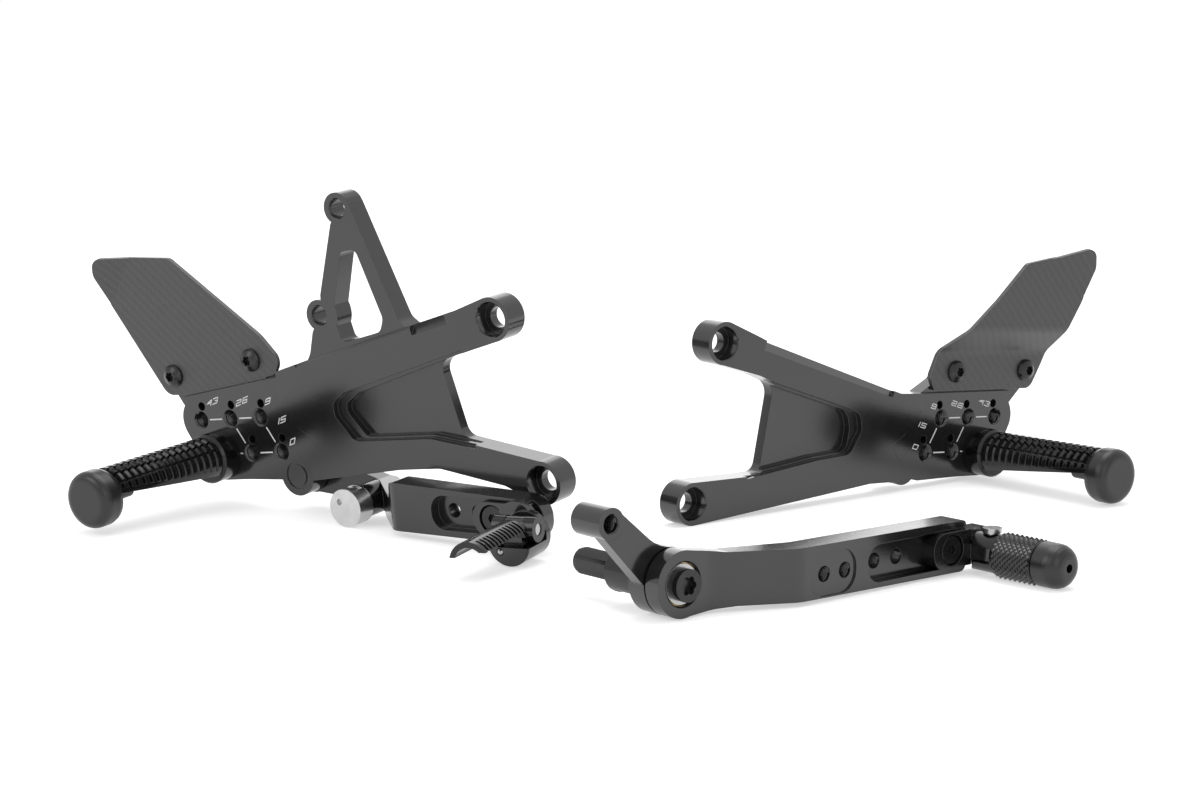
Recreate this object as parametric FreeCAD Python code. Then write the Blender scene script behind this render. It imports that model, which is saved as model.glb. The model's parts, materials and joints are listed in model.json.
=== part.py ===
import FreeCAD, Part
import math
import os

# Rearset footrests for a sport motorbike: brake side, shift side and the loose shift lever.
# Millimetres, +Z up. The set stands on the plane z = 0 as it was laid out on the table.
# Each side is modelled in its own frame: x forward, y inboard, z up, origin at the lowest
# front hole of the peg adjuster. The shift side is the same frame mirrored in x.

V = FreeCAD.Vector
SEAT_GAP = 0.3            # between curved faces of different pieces
PIN_GAP = 0.04            # radial clearance of a pin or shaft in its bore

# Plates
PLATE = 11.5              # full thickness of a side plate
PAD_RECESS = 1.5          # adjuster pad lies this far behind the front face
POCKET_STEP = 3.0         # depth of the upper pocket step
POCKET_DEPTH = 6.4        # depth of the pocket floor
POCKET_LEDGE = 1.2        # ledge between the two pocket steps
CHAMFER = 4.6             # wide bevel along the top edge
BOSS_R = 9.6              # outer radius of the frame bosses
BORE_R = 4.5              # clearance bore for an M8 bolt
COUNTERBORE_R = 7.25      # seat for the M8 cap head
COUNTERBORE_DEPTH = 6.5
FRAME_UPPER = (130.0, 53.0)
FRAME_LOWER = (142.5, -17.5)

# Adjuster: six threaded holes in two rows, each with a smaller index hole
ROW_PITCH = 18.0
ROW_RISE = 16.2
ROW_SHIFT = -9.0
HOLE_R = 3.4
HOLE_CHAMFER = 0.8
INDEX_R = 2.0
INDEX_OFFSET = (1.7, 6.3)
PAD_END_R = 11.2
PEG_PAD_R = 12.0
PAD_LOW_R = 11.4
PEG_HOLE = (-2 * ROW_PITCH, 0.0)
PIVOT_HUB = (6.8, -11.1)
PIVOT_HUB_R = 9.2

# Master cylinder bracket on the brake side plate
CYLINDER_LOW = (35.9, 60.0)
CYLINDER_SPACING = 50.0
CYLINDER_ANGLE = 65.9     # degrees above forward
CYLINDER_BORE_R = 4.2
CYLINDER_BOSS_R = 7.0

# Heel guards
GUARD = 2.0               # carbon sheet
GUARD_Y = 2.0             # outer face of the sheet
GUARD_BOLT_R = 2.45
GUARD_HEAD_R = 5.2
GUARD_HEAD = 2.9
TAB_TOP = 12.0            # tab height above the bolt line
JOGGLE = 8.0              # outward step of the shift side guard

# Footpegs
COLLAR_R = 11.3
COLLAR = 11.0
PEG_LENGTH = 76.0         # collar and grip together
CORE_R = 9.7
RIB_R = 10.7              # rib tips at the collar
RIB_GROWTH = 1.1          # rib tips rise by this much to the outer end
RIB_COUNT = 15
CAP_R = 12.6
CAP = 12.0
CAP_STUD_R = 4.0
CAP_STUD = 14.0

PEG_BOLT_HEAD_R = 6.5
PEG_BOLT_HEAD = 8.0
PEG_BOLT_GRIP = 20.0

# Levers
LEVER = 12.0              # lever thickness at the toe end
LEVER_STEP = 15.0         # toe end stands this far outboard of the shift hub face
LEVER_HALF = 10.4         # half height of a lever
HUB_R = 13.1
HUB = 7.0
SEAT_R = 8.5              # bush seat in the shift lever hub
SLOT_DEPTH = 5.0
SLOT_HALF = 7.6
THREAD_R = 3.2
HOLE_PITCH = 12.6
SLOT_LEAD = 8.6           # slot end beyond its last threaded hole
SHAFT_R = 6.0
BLOCK_PROUD = 2.6
BLOCK_BOLT_HEAD_R = 6.0
BLOCK_BOLT_R = 3.0
SHIFT_REACH = 146.0       # shift pivot to toe peg


# Shape helpers

def box(x0, x1, y0, y1, z0, z1):
    return Part.makeBox(x1 - x0, y1 - y0, z1 - z0, V(x0, y0, z0))


def rod_y(centre, y0, y1, radius):
    return Part.makeCylinder(radius, y1 - y0, V(centre[0], y0, centre[1]), V(0, 1, 0))


def rod_x(y, z, x0, x1, radius):
    return Part.makeCylinder(radius, x1 - x0, V(x0, y, z), V(1, 0, 0))


def rod_z(x, y, z0, z1, radius):
    return Part.makeCylinder(radius, z1 - z0, V(x, y, z0), V(0, 0, 1))


def cone_y(centre, y0, y1, r0, r1):
    return Part.makeCone(r0, r1, y1 - y0, V(centre[0], y0, centre[1]), V(0, 1, 0))


def rounded_wire(corners):
    """Closed wire through flat 3D corners given as (point, radius)."""
    edges, ends = [], []
    count = len(corners)
    for i, (point, radius) in enumerate(corners):
        before = (corners[i - 1][0] - point).normalize()
        after = (corners[(i + 1) % count][0] - point).normalize()
        half = before.getAngle(after) / 2
        if radius < 0.01 or abs(half - math.pi / 2) < 0.002:
            ends.append((point, point, None))
            continue
        reach = radius / math.tan(half)
        middle = (before + after).normalize()
        crown = point + middle * (radius / math.sin(half) - radius)
        ends.append((point + before * reach, point + after * reach, crown))
    for i, (start, stop, crown) in enumerate(ends):
        if crown is not None:
            edges.append(Part.Arc(start, crown, stop).toShape())
        following = ends[(i + 1) % count][0]
        if (following - stop).Length > 1e-4:
            edges.append(Part.LineSegment(stop, following).toShape())
    return Part.Wire(edges)


def side_prism(corners, y0, y1):
    """Prism along y from (x, z) or (x, z, radius) corners."""
    placed = [(V(c[0], y0, c[1]), c[2] if len(c) > 2 else 0.0) for c in corners]
    return Part.Face(rounded_wire(placed)).extrude(V(0, y1 - y0, 0))


def plan_prism(corners, z0, z1):
    """Prism along z from (x, y) or (x, y, radius) corners."""
    placed = [(V(c[0], c[1], z0), c[2] if len(c) > 2 else 0.0) for c in corners]
    return Part.Face(rounded_wire(placed)).extrude(V(0, 0, z1 - z0))


def link_prism(c1, r1, c2, r2, y0, y1):
    """Hull of two circles in the side view, extruded along y."""
    dx, dz = c2[0] - c1[0], c2[1] - c1[1]
    along = math.atan2(dz, dx)
    lean = math.acos((r1 - r2) / math.hypot(dx, dz))

    def rim(centre, radius, angle):
        return V(centre[0] + radius * math.cos(angle), y0, centre[1] + radius * math.sin(angle))

    a1, a2 = rim(c1, r1, along + lean), rim(c2, r2, along + lean)
    b1, b2 = rim(c1, r1, along - lean), rim(c2, r2, along - lean)
    edges = [Part.LineSegment(a1, a2).toShape(), Part.Arc(a2, rim(c2, r2, along), b2).toShape(),
             Part.LineSegment(b2, b1).toShape(), Part.Arc(b1, rim(c1, r1, along + math.pi), a1).toShape()]
    return Part.Face(Part.Wire(edges)).extrude(V(0, y1 - y0, 0))


def turned(profile, centre, y0, outboard=True):
    """Solid of revolution about a y axis from (distance, radius) pairs."""
    sign = -1 if outboard else 1
    points = [V(r, sign * s, 0) for s, r in profile]
    points = [V(0, points[0].y, 0)] + points + [V(0, points[-1].y, 0)]
    face = Part.Face(Part.makePolygon(points + [points[0]]))
    solid = face.revolve(V(0, 0, 0), V(0, 1, 0), 360)
    solid.translate(V(centre[0], y0, centre[1]))
    return solid


def seam_down(shape):
    """Turn a solid of revolution about the y axis so that its seam lies underneath."""
    shape.rotate(V(0, 0, 0), V(0, 1, 0), 90)
    return shape


def fused(first, others):
    return first.fuse(list(others)).removeSplitter()


def cut(base, tools):
    return base.cut(list(tools))


def group(shapes):
    return Part.makeCompound(list(shapes))


def mirrored(shape):
    return shape.mirror(V(0, 0, 0), V(1, 0, 0))


# Adjuster

def adjuster_holes():
    """Centres of the six peg holes, lower row first."""
    lower = [(-ROW_PITCH * i, 0.0) for i in range(3)]
    upper = [(ROW_SHIFT - ROW_PITCH * i, ROW_RISE) for i in range(3)]
    return lower + upper


def adjuster_cutters():
    tools = []
    for x, z in adjuster_holes():
        tools.append(rod_y((x, z), PAD_RECESS - 1, PLATE + 1, HOLE_R))
        tools.append(cone_y((x, z), PAD_RECESS - 0.01, PAD_RECESS + HOLE_CHAMFER,
                            HOLE_R + HOLE_CHAMFER, HOLE_R))
        index = (x + INDEX_OFFSET[0], z + INDEX_OFFSET[1])
        tools.append(rod_y(index, PAD_RECESS - 1, PAD_RECESS + 6.0, INDEX_R))
    return tools


def adjuster_pad(top_edge):
    """Rear pad around the six holes, under the heel guard tab."""
    rear_upper = (ROW_SHIFT - 2 * ROW_PITCH, ROW_RISE)
    web = side_prism([rear_upper, (PEG_HOLE[0], -PEG_PAD_R + 0.5), (4.0, -PAD_LOW_R - 1.5), (20.0, -10.0)]
                     + top_edge, PAD_RECESS, PLATE)
    ends = [link_prism(rear_upper, PAD_END_R, PEG_HOLE, PEG_PAD_R, PAD_RECESS, PLATE),
            link_prism(PEG_HOLE, PEG_PAD_R, (0.0, -0.6), PAD_LOW_R, PAD_RECESS, PLATE)]
    return fused(web, ends)


def pad_step():
    """Front of the plate that is milled back to the adjuster pad, with its curved edge."""
    return side_prism([(-1.0, -30.0), (17.6, -30.0), (17.6, -4.0, 8), (23.4, 4.6), (13.5, 10.6, 16),
                       (3.8, 24.0), (3.8, 50.0), (-1.0, 50.0)], -1, PAD_RECESS)


def guard_tab(bolts, front_edge):
    """Ear behind the heel guard, set back by the sheet."""
    (rx, rz), (fx, fz) = bolts
    return side_prism([(-54.5, 20.0), (rx - 4.5, rz - 4.0, 3), (rx - 4.0, rz + TAB_TOP - 5, 5),
                       (fx - 0.5, fz + TAB_TOP - 5, 4)] + front_edge, GUARD_Y + GUARD, PLATE)


def frame_boss(centre):
    return rod_y(centre, 0.0, PLATE, BOSS_R)


def boss_cutters(centre):
    return [rod_y(centre, -1, PLATE + 1, BORE_R),
            rod_y(centre, -1, COUNTERBORE_DEPTH, COUNTERBORE_R),
            cone_y(centre, -0.01, 0.5, COUNTERBORE_R + 0.5, COUNTERBORE_R),
            cone_y(centre, PLATE - 0.5, PLATE + 0.01, BORE_R, BORE_R + 0.5)]


def pocket_cutters(rim):
    """Two step pocket that runs out at the open front of the plate."""
    upper = side_prism(rim, -1, POCKET_STEP)
    centre_x = sum(c[0] for c in rim) / len(rim)
    centre_z = sum(c[1] for c in rim) / len(rim)
    inner = []
    for x, z, r in rim:
        dz = math.copysign(POCKET_LEDGE, centre_z - z)
        dx = 5.2 if x < centre_x - 20 else 0.0
        inner.append((x + dx, z + dz, max(r - POCKET_LEDGE, 0.0) if r else 0.0))
    return [upper, side_prism(inner, -1, POCKET_DEPTH)]


def edge_bevel(start, end, depth):
    """Wedge that bevels the front of an edge running from start to end."""
    (x0, z0), (x1, z1) = start, end
    angle = math.degrees(math.atan2(z1 - z0, x1 - x0))
    length = math.hypot(x1 - x0, z1 - z0)
    corners = [V(0, -1, -depth - 1.0), V(0, depth + 1.0, 1.0), V(0, -1, 1.0)]
    wedge = Part.Face(Part.makePolygon(corners + [corners[0]])).extrude(V(length, 0, 0))
    wedge.rotate(V(0, 0, 0), V(0, -1, 0), angle)
    wedge.translate(V(x0, 0, z0))
    return wedge


def guard_bolt_holes(bolts):
    return [rod_y(b, GUARD_Y - 1, PLATE + 1, GUARD_BOLT_R + PIN_GAP) for b in bolts]


# Brake side plate

BRAKE_GUARD_BOLTS = ((-57.5, 37.3), (-8.9, 42.3))


def cylinder_bracket():
    """Triangular ear that carries the brake master cylinder."""
    low, high = CYLINDER_LOW, cylinder_high()
    y0 = PAD_RECESS
    outline = [(20.0, 30.0), (22.5, 37.5), (27.0, 43.5, 6), (30.6, 53.0, 6), (38.0, 62.0),
               (38.6, 68.8, 4), (high[0] - 5.0, high[1] - 6.5, 3), (high[0], high[1]),
               (high[0] + 6.8, high[1] + 2.0), (79.6, 55.5, 6), (86.0, 50.0), (70.0, 36.0)]
    ear = side_prism(outline, y0, PLATE)
    bosses = [rod_y(low, y0, PLATE, CYLINDER_BOSS_R), rod_y(high, y0, PLATE, CYLINDER_BOSS_R)]
    window = side_prism([(54.2, 87.2, 3.4), (62.6, 87.2, 3.4), (71.4, 56.5, 5), (68.6, 50.9, 4),
                         (46.4, 47.2, 3), (44.0, 60.0)], y0 - 1, PLATE + 1)
    window = cut(window, [rod_y(low, y0 - 2, PLATE + 2, CYLINDER_BOSS_R + 3.4)])
    bores = [rod_y(c, y0 - 1, PLATE + 1, CYLINDER_BORE_R) for c in (low, high)]
    bores += [cone_y(c, y0 - 0.01, y0 + 0.5, CYLINDER_BORE_R + 0.5, CYLINDER_BORE_R) for c in (low, high)]
    return cut(fused(ear, bosses), [window] + bores)


def cylinder_high():
    turn = math.radians(CYLINDER_ANGLE)
    return (CYLINDER_LOW[0] + CYLINDER_SPACING * math.cos(turn),
            CYLINDER_LOW[1] + CYLINDER_SPACING * math.sin(turn))


def brake_plate():
    ux, uz = FRAME_UPPER
    wx, wz = FRAME_LOWER
    body = side_prism([(14.0, -13.5), (67.7, -9.7, 14), (89.8, -9.7, 14), (wx - 19.0, wz - 0.6, 8),
                       (wx - 6.0, wz - 7.5), (wx, wz), (wx + 2.1, wz + 9.2), (100.4, 2.6, 6),
                       (94.4, 35.9, 6), (ux + 2.2, uz - 9.3), (ux, uz), (ux - 2.6, uz + 9.2),
                       (ux - 18.0, uz + 5.0, 5), (24.0, 40.6, 4), (6.0, 36.6), (6.0, 0.0)], 0.0, PLATE)
    body = cut(body, [pad_step(), edge_bevel((86.0, 53.2), (106.0, 57.0), CHAMFER),
                      edge_bevel((18.0, 39.4), (88.0, 53.4), 1.4)])
    pieces = [frame_boss(FRAME_UPPER), frame_boss(FRAME_LOWER), cylinder_bracket(),
              adjuster_pad([(20.0, 36.0), (6.0, 36.6), (4.8, 34.0), (-54.5, 27.2)]),
              guard_tab(BRAKE_GUARD_BOLTS, [(-3.4, 43.0, 3), (-3.4, 38.0, 3), (-4.6, 20.0)]),
              rod_y(PIVOT_HUB, PAD_RECESS, PLATE, PIVOT_HUB_R)]
    body = fused(body, pieces)
    rim = [(43.8, 25.8, 4), (36.4, 21.4, 4), (35.9, 15.5, 5), (45.0, 3.6, 5), (87.0, 3.4, 12),
           (111.0, -1.6, 0), (112.0, 41.0, 0)]
    tools = pocket_cutters(rim) + boss_cutters(FRAME_UPPER) + boss_cutters(FRAME_LOWER)
    tools += adjuster_cutters() + guard_bolt_holes(BRAKE_GUARD_BOLTS)
    tools.append(rod_y(PIVOT_HUB, PLATE - 9.0, PLATE + 1, BRAKE_SHAFT_R + PIN_GAP))
    ring = cut(rod_y(PIVOT_HUB, PAD_RECESS - 1, PAD_RECESS + 0.6, 6.2),
               [rod_y(PIVOT_HUB, PAD_RECESS - 2, PAD_RECESS + 2, 5.0)])
    tools.append(ring)
    return cut(body, tools)


# Shift side plate

SHIFT_GUARD_BOLTS = ((-64.3, 38.1), (-17.0, 38.1))
SPINDLE_BOSS = (14.0, -6.0)
SPINDLE_BOSS_R = 8.6
SPINDLE_BOSS_LENGTH = 5.0
PIVOT_THREAD_R = 5.0


def shift_plate():
    ux, uz = FRAME_UPPER
    wx, wz = FRAME_LOWER
    body = side_prism([(14.0, -12.6), (36.0, -12.9), (wx - 1.2, wz - 9.5), (wx, wz),
                       (wx + 1.0, wz + 9.5), (108.0, -6.4, 6), (99.5, -5.8, 5), (94.2, 33.6, 7),
                       (108.5, 38.5, 6), (ux + 3.1, uz - 9.0), (ux, uz), (ux - 3.2, uz + 9.0),
                       (110.5, 56.0, 5), (104.5, 53.6, 5), (20.0, 28.6, 6), (6.0, 28.3), (6.0, 0.0)],
                      0.0, PLATE)
    body = cut(body, [pad_step(), edge_bevel((24.0, 31.3), (105.5, 54.1), CHAMFER)])
    pieces = [frame_boss(FRAME_UPPER), frame_boss(FRAME_LOWER),
              adjuster_pad([(20.0, 28.0), (-54.5, 28.4)]),
              guard_tab(SHIFT_GUARD_BOLTS, [(-12.0, 39.0, 4), (-7.0, 34.0, 3), (5.6, 27.0), (5.6, 20.0)]),
              rod_y(SPINDLE_BOSS, PAD_RECESS, PLATE + SPINDLE_BOSS_LENGTH, SPINDLE_BOSS_R)]
    body = fused(body, pieces)
    rim = [(53.0, 22.8, 5), (45.0, 19.4, 4), (43.4, 12.0, 5), (50.0, 1.2, 6), (70.0, -0.8, 12),
           (112.0, -7.6, 0), (112.0, 38.8, 0)]
    tools = pocket_cutters(rim) + boss_cutters(FRAME_UPPER) + boss_cutters(FRAME_LOWER)
    tools += adjuster_cutters() + guard_bolt_holes(SHIFT_GUARD_BOLTS)
    depth = PLATE + SPINDLE_BOSS_LENGTH - 11.0
    tools.append(rod_y(SPINDLE_BOSS, depth, PLATE + SPINDLE_BOSS_LENGTH + 1, PIVOT_THREAD_R))
    return cut(body, tools)


# Heel guards

TIP_BEND = 13.0
BLANK_X = (-120.0, 30.0)  # the blank of a guard before its outline is cut
BLANK_Z = (20.0, 110.0)


def bent_tip(outline, slab, hinge_low, hinge_high, y_face):
    """Cut the outline from a slab and bend its tip inboard beyond the hinge line."""
    (x0, z0), (x1, z1) = hinge_low, hinge_high
    along = V(x1 - x0, 0, z1 - z0).normalize()
    out = V(-along.z, 0, along.x) * 60
    low, high = V(x0, -40, z0) - along * 60, V(x1, -40, z1) + along * 60
    tip_zone = Part.Face(Part.makePolygon([low, high, high + out, low + out, low])).extrude(V(0, 90, 0))
    blank = slab.common(side_prism(outline, -40, 50))
    flat = blank.cut(tip_zone)
    tip = blank.common(tip_zone)
    tip.rotate(V(x0, y_face, z0), along, TIP_BEND)
    return flat.fuse(tip).removeSplitter()


def brake_guard():
    outline = [(-50.0, 28.2), (3.3, 34.9, 4), (8.2, 41.0, 6), (-1.6, 53.2, 16), (-48.0, 91.2, 5),
               (-93.0, 95.0, 5), (-94.6, 87.0, 6), (-88.6, 72.0, 12), (-63.2, 28.4, 7)]
    slab = box(*BLANK_X, GUARD_Y, GUARD_Y + GUARD, *BLANK_Z)
    guard = bent_tip(outline, slab, (-89.1, 72.5), (-73.0, 91.6), GUARD_Y + GUARD)
    return cut(guard, [rod_y(b, GUARD_Y - 1, GUARD_Y + GUARD + 1, GUARD_BOLT_R + 0.2)
                       for b in BRAKE_GUARD_BOLTS])


def shift_guard():
    outline = [(-3.4, 29.4, 2), (0.2, 36.0, 4), (-5.0, 48.5, 8), (-34.5, 72.9, 20), (-52.4, 90.0, 5),
               (-74.0, 93.6, 5), (-95.0, 99.2, 5), (-97.4, 89.0, 6), (-92.6, 72.7, 14),
               (-83.4, 58.0, 10), (-74.6, 40.3, 10), (-68.4, 29.2, 6)]
    low, high = 47.0, 58.0
    y0, y1 = GUARD_Y, GUARD_Y - JOGGLE
    (start, end), (bottom, top) = BLANK_X, BLANK_Z
    section = [(V(start, y0, bottom), 0), (V(start, y0, low), 6), (V(start, y1, high), 6),
               (V(start, y1, top), 0), (V(start, y1 + GUARD, top), 0),
               (V(start, y1 + GUARD, high + 0.6), 4), (V(start, y0 + GUARD, low + 0.6), 8),
               (V(start, y0 + GUARD, bottom), 0)]
    slab = Part.Face(rounded_wire(section)).extrude(V(end - start, 0, 0))
    guard = bent_tip(outline, slab, (-94.0, 73.5), (-71.0, 91.0), y1 + GUARD)
    return cut(guard, [rod_y(b, GUARD_Y - 1, GUARD_Y + GUARD + 1, GUARD_BOLT_R + 0.2)
                       for b in SHIFT_GUARD_BOLTS])


def torx_cutter(centre, y0, y1, radius):
    """Six lobed socket."""
    lobes = [rod_y((centre[0] + radius * 0.62 * math.cos(math.radians(60 * i)),
                    centre[1] + radius * 0.62 * math.sin(math.radians(60 * i))), y0, y1, radius * 0.36)
             for i in range(6)]
    return fused(rod_y(centre, y0, y1, radius * 0.66), lobes)


def guard_bolt(centre):
    """Button head screw with a six lobed socket."""
    head = turned([(0.0, GUARD_HEAD_R), (0.8, GUARD_HEAD_R), (1.9, GUARD_HEAD_R * 0.86),
                   (GUARD_HEAD, GUARD_HEAD_R * 0.5)], centre, GUARD_Y)
    shank = rod_y(centre, GUARD_Y - 0.5, PLATE - 1.0, GUARD_BOLT_R)
    return cut(fused(head, [shank]), [torx_cutter(centre, GUARD_Y - GUARD_HEAD - 1, GUARD_Y - 0.9, 2.4)])


# Footpegs

def footpeg():
    """Grip with turned ribs over a smooth core, cut away underneath towards the tip."""
    front = PAD_RECESS
    grip_end = PEG_LENGTH - 0.5
    pitch = (grip_end - COLLAR - 1.0) / RIB_COUNT
    profile = [(COLLAR - 0.5, CORE_R)]
    for i in range(RIB_COUNT):
        start = COLLAR + 1.0 + i * pitch
        tip = RIB_R + RIB_GROWTH * i / (RIB_COUNT - 1)
        profile += [(start, CORE_R), (start + pitch * 0.2, tip), (start + pitch * 0.6, tip),
                    (start + pitch * 0.8, CORE_R)]
    profile.append((grip_end, CORE_R))
    ribs = seam_down(turned(profile, (0, 0), 0))
    grooves = []
    for angle in (28, 52, 76, 104, 128, 152):
        groove = box(-0.6, 0.6, -PEG_LENGTH - 1, -COLLAR - 1.5, CORE_R + 0.05, CORE_R + 4)
        groove.rotate(V(0, 0, 0), V(0, 1, 0), 90 - angle)
        grooves.append(groove)
    root_drop, tip_rise = 5.2, 3.0
    ribs = cut(ribs, [under_wedge(-root_drop, tip_rise, grip_end)])
    core = seam_down(turned([(COLLAR - 0.5, CORE_R + 0.3), (PEG_LENGTH, CORE_R + 0.3)], (0, 0), 0))
    core = cut(core, [under_wedge(-root_drop - 2.2, tip_rise - 2.2, PEG_LENGTH)])
    collar = seam_down(turned([(0, COLLAR_R), (COLLAR - 1.2, COLLAR_R), (COLLAR, COLLAR_R - 1.0)],
                              (0, 0), 0))
    peg = cut(fused(collar, [core, ribs]), grooves)
    peg = cut(peg, [rod_y((0, 0), -PEG_BOLT_GRIP, 1, HOLE_R),
                    rod_y((0, 0), -PEG_LENGTH - 1, -PEG_LENGTH + CAP_STUD + 1.0, CAP_STUD_R + PIN_GAP),
                    rod_y(INDEX_OFFSET, -4.4, 1, INDEX_R - 0.2)])
    peg.translate(V(PEG_HOLE[0], front, PEG_HOLE[1]))
    return peg


def under_wedge(z_root, z_tip, length):
    """Everything below a plane that rises from the collar to the tip."""
    face = Part.Face(Part.makePolygon([V(-20, -COLLAR, z_root), V(-20, -length - 2, z_tip),
                                       V(-20, -length - 2, -40), V(-20, -COLLAR, -40),
                                       V(-20, -COLLAR, z_root)]))
    return face.extrude(V(40, 0, 0))


def peg_cap():
    """Rounded end disc on a threaded stud."""
    y0 = PAD_RECESS - PEG_LENGTH
    edge = 3.2
    profile = [(0.0, CAP_R - 2.0), (1.2, CAP_R - 0.6), (edge, CAP_R)]
    steps = 6
    for i in range(steps + 1):
        t = math.radians(90.0 * i / steps)
        profile.append((CAP - 4.2 + 4.2 * math.sin(t), CAP_R - 4.2 + 4.2 * math.cos(t)))
    cap = turned(profile, PEG_HOLE, y0)
    return fused(cap, [rod_y(PEG_HOLE, y0 - 0.5, y0 + CAP_STUD, CAP_STUD_R)])


def peg_bolt():
    """M8 cap screw that holds the peg from inboard, with its washer under the head."""
    y_head = PLATE + 1.6
    head = rod_y(PEG_HOLE, y_head, y_head + PEG_BOLT_HEAD, PEG_BOLT_HEAD_R)
    shank = rod_y(PEG_HOLE, PAD_RECESS - PEG_BOLT_GRIP + 2, PLATE, HOLE_R - PIN_GAP)
    neck = rod_y(PEG_HOLE, PLATE - 0.5, y_head + 0.1, HOLE_R - PIN_GAP)
    socket = hex_cutter(PEG_HOLE, y_head + 3.5, y_head + PEG_BOLT_HEAD + 1, 3.0)
    return cut(fused(head, [shank, neck]), [socket])


def peg_washer():
    return cut(rod_y(PEG_HOLE, PLATE, PLATE + 1.6, 8.0), [rod_y(PEG_HOLE, PLATE - 1, PLATE + 3, HOLE_R + 0.2)])


def hex_cutter(centre, y0, y1, inradius):
    radius = inradius / math.cos(math.pi / 6)
    corners = [(centre[0] + radius * math.cos(math.radians(60 * i)),
                centre[1] + radius * math.sin(math.radians(60 * i))) for i in range(6)]
    return side_prism(corners, y0, y1)


def index_pin():
    centre = (PEG_HOLE[0] + INDEX_OFFSET[0], PEG_HOLE[1] + INDEX_OFFSET[1])
    return rod_y(centre, PAD_RECESS - 4.0, PAD_RECESS + 5.5, INDEX_R - 0.2 - PIN_GAP)


# Toe block shared by both levers, in lever coordinates: x along the lever, face at y = 0

def toe_slot(x_start, x_end, mid, face):
    return side_prism([(x_start, mid - SLOT_HALF, SLOT_HALF - 0.6), (x_end, mid - SLOT_HALF),
                       (x_end, mid + SLOT_HALF), (x_start, mid + SLOT_HALF, SLOT_HALF - 0.6)],
                      face - 1, face + SLOT_DEPTH)


def thread_bore(x, mid, face, depth=20.0):
    return rod_y((x, mid), face - 5, face + depth, THREAD_R)


def block_bolt(x, mid, face):
    """Low head screw in the counterbore of a toe block."""
    head = turned([(0, BLOCK_BOLT_HEAD_R), (2.4, BLOCK_BOLT_HEAD_R), (3.0, BLOCK_BOLT_HEAD_R - 0.6)],
                  (x, mid), face + 1.0)
    shank = rod_y((x, mid), face + 0.8, face + LEVER - 1.0, BLOCK_BOLT_R)
    return cut(fused(head, [shank]), [hex_cutter((x, mid), face - 2.5, face - 0.2, 2.0)])


def toe_block(x_bolt, x_rear, x_front, mid, face):
    """Block that slides in the toe slot and is held by one screw."""
    half = SLOT_HALF - 0.3
    block = side_prism([(x_rear, mid - half, half - 0.8), (x_front, mid - half, 1.5),
                        (x_front, mid + half, 1.5), (x_rear, mid + half, half - 0.8)],
                       face - BLOCK_PROUD, face + SLOT_DEPTH)
    return cut(block, [rod_y((x_bolt, mid), face - 10, face + 20, BLOCK_BOLT_R + 0.15),
                       rod_y((x_bolt, mid), face - 10, face + 1.0, BLOCK_BOLT_HEAD_R + 0.3)])


# Shift lever, origin at the hub centre on the hub's outboard face

SHIFT_END = SHIFT_REACH - 5.0
SHIFT_MID = -2.3          # slot centre line below the hub centre
SHIFT_BOLT = SHIFT_REACH - 15.6
SHIFT_PIN_Y = -LEVER_STEP - 9.5
SHIFT_PEG_Z = -4.3


def shift_lever():
    y_face = -LEVER_STEP
    plan = plan_prism([(-20, 0), (15, 0, 14), (47, y_face, 14), (SHIFT_END, y_face),
                       (SHIFT_END, y_face + LEVER), (52, y_face + LEVER, 14), (17, HUB, 14), (-20, HUB)],
                      -30, 30)
    side = side_prism([(2.0, 12.9), (20.0, 10.0, 14), (SHIFT_END, 8.4, 2), (SHIFT_END, -12.6, 3),
                       (24.0, -11.2, 20), (3.0, -12.7), (-4, -8), (-4, 8)], -40, 40)
    hub = rod_y((0, 0), -40, 40, HUB_R)
    lever = plan.common(side.fuse(hub).removeSplitter())
    tools = [rod_y((0, 0), -1, HUB + 1, SEAT_R), cone_y((0, 0), -0.01, 0.6, SEAT_R + 0.6, SEAT_R),
             toe_slot(SHIFT_BOLT - 3 * HOLE_PITCH - SLOT_LEAD, SHIFT_END + 5, SHIFT_MID, y_face),
             side_prism([(52.0, SHIFT_MID - 8.8, 8), (77.5, SHIFT_MID - 8.8, 8),
                         (77.5, SHIFT_MID + 8.8, 8), (52.0, SHIFT_MID + 8.8, 8)], y_face - 1, y_face + 0.8)]
    tools += [thread_bore(x, SHIFT_MID, y_face) for x in
              (60.4, 60.4 + 11.4, SHIFT_BOLT - 3 * HOLE_PITCH, SHIFT_BOLT - 2 * HOLE_PITCH)]
    tools.append(rod_y((SHIFT_BOLT, SHIFT_MID), y_face, y_face + LEVER + 1, BLOCK_BOLT_R + PIN_GAP))
    tools += [rod_y(p, HUB - 3.0, HUB + 1, 2.0) for p in DOWELS]
    return cut(lever, tools)


DOWELS = ((-7.4, -7.8), (7.4, 7.8))
ARM_Y = HUB + 0.8
ARM = 6.0
ARM_HUB = 8.6
EYE = (-29.6, 25.9)
EYE_R = 6.2
EYE_LENGTH = 16.0
EYE_BORE_R = 3.4


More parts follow.
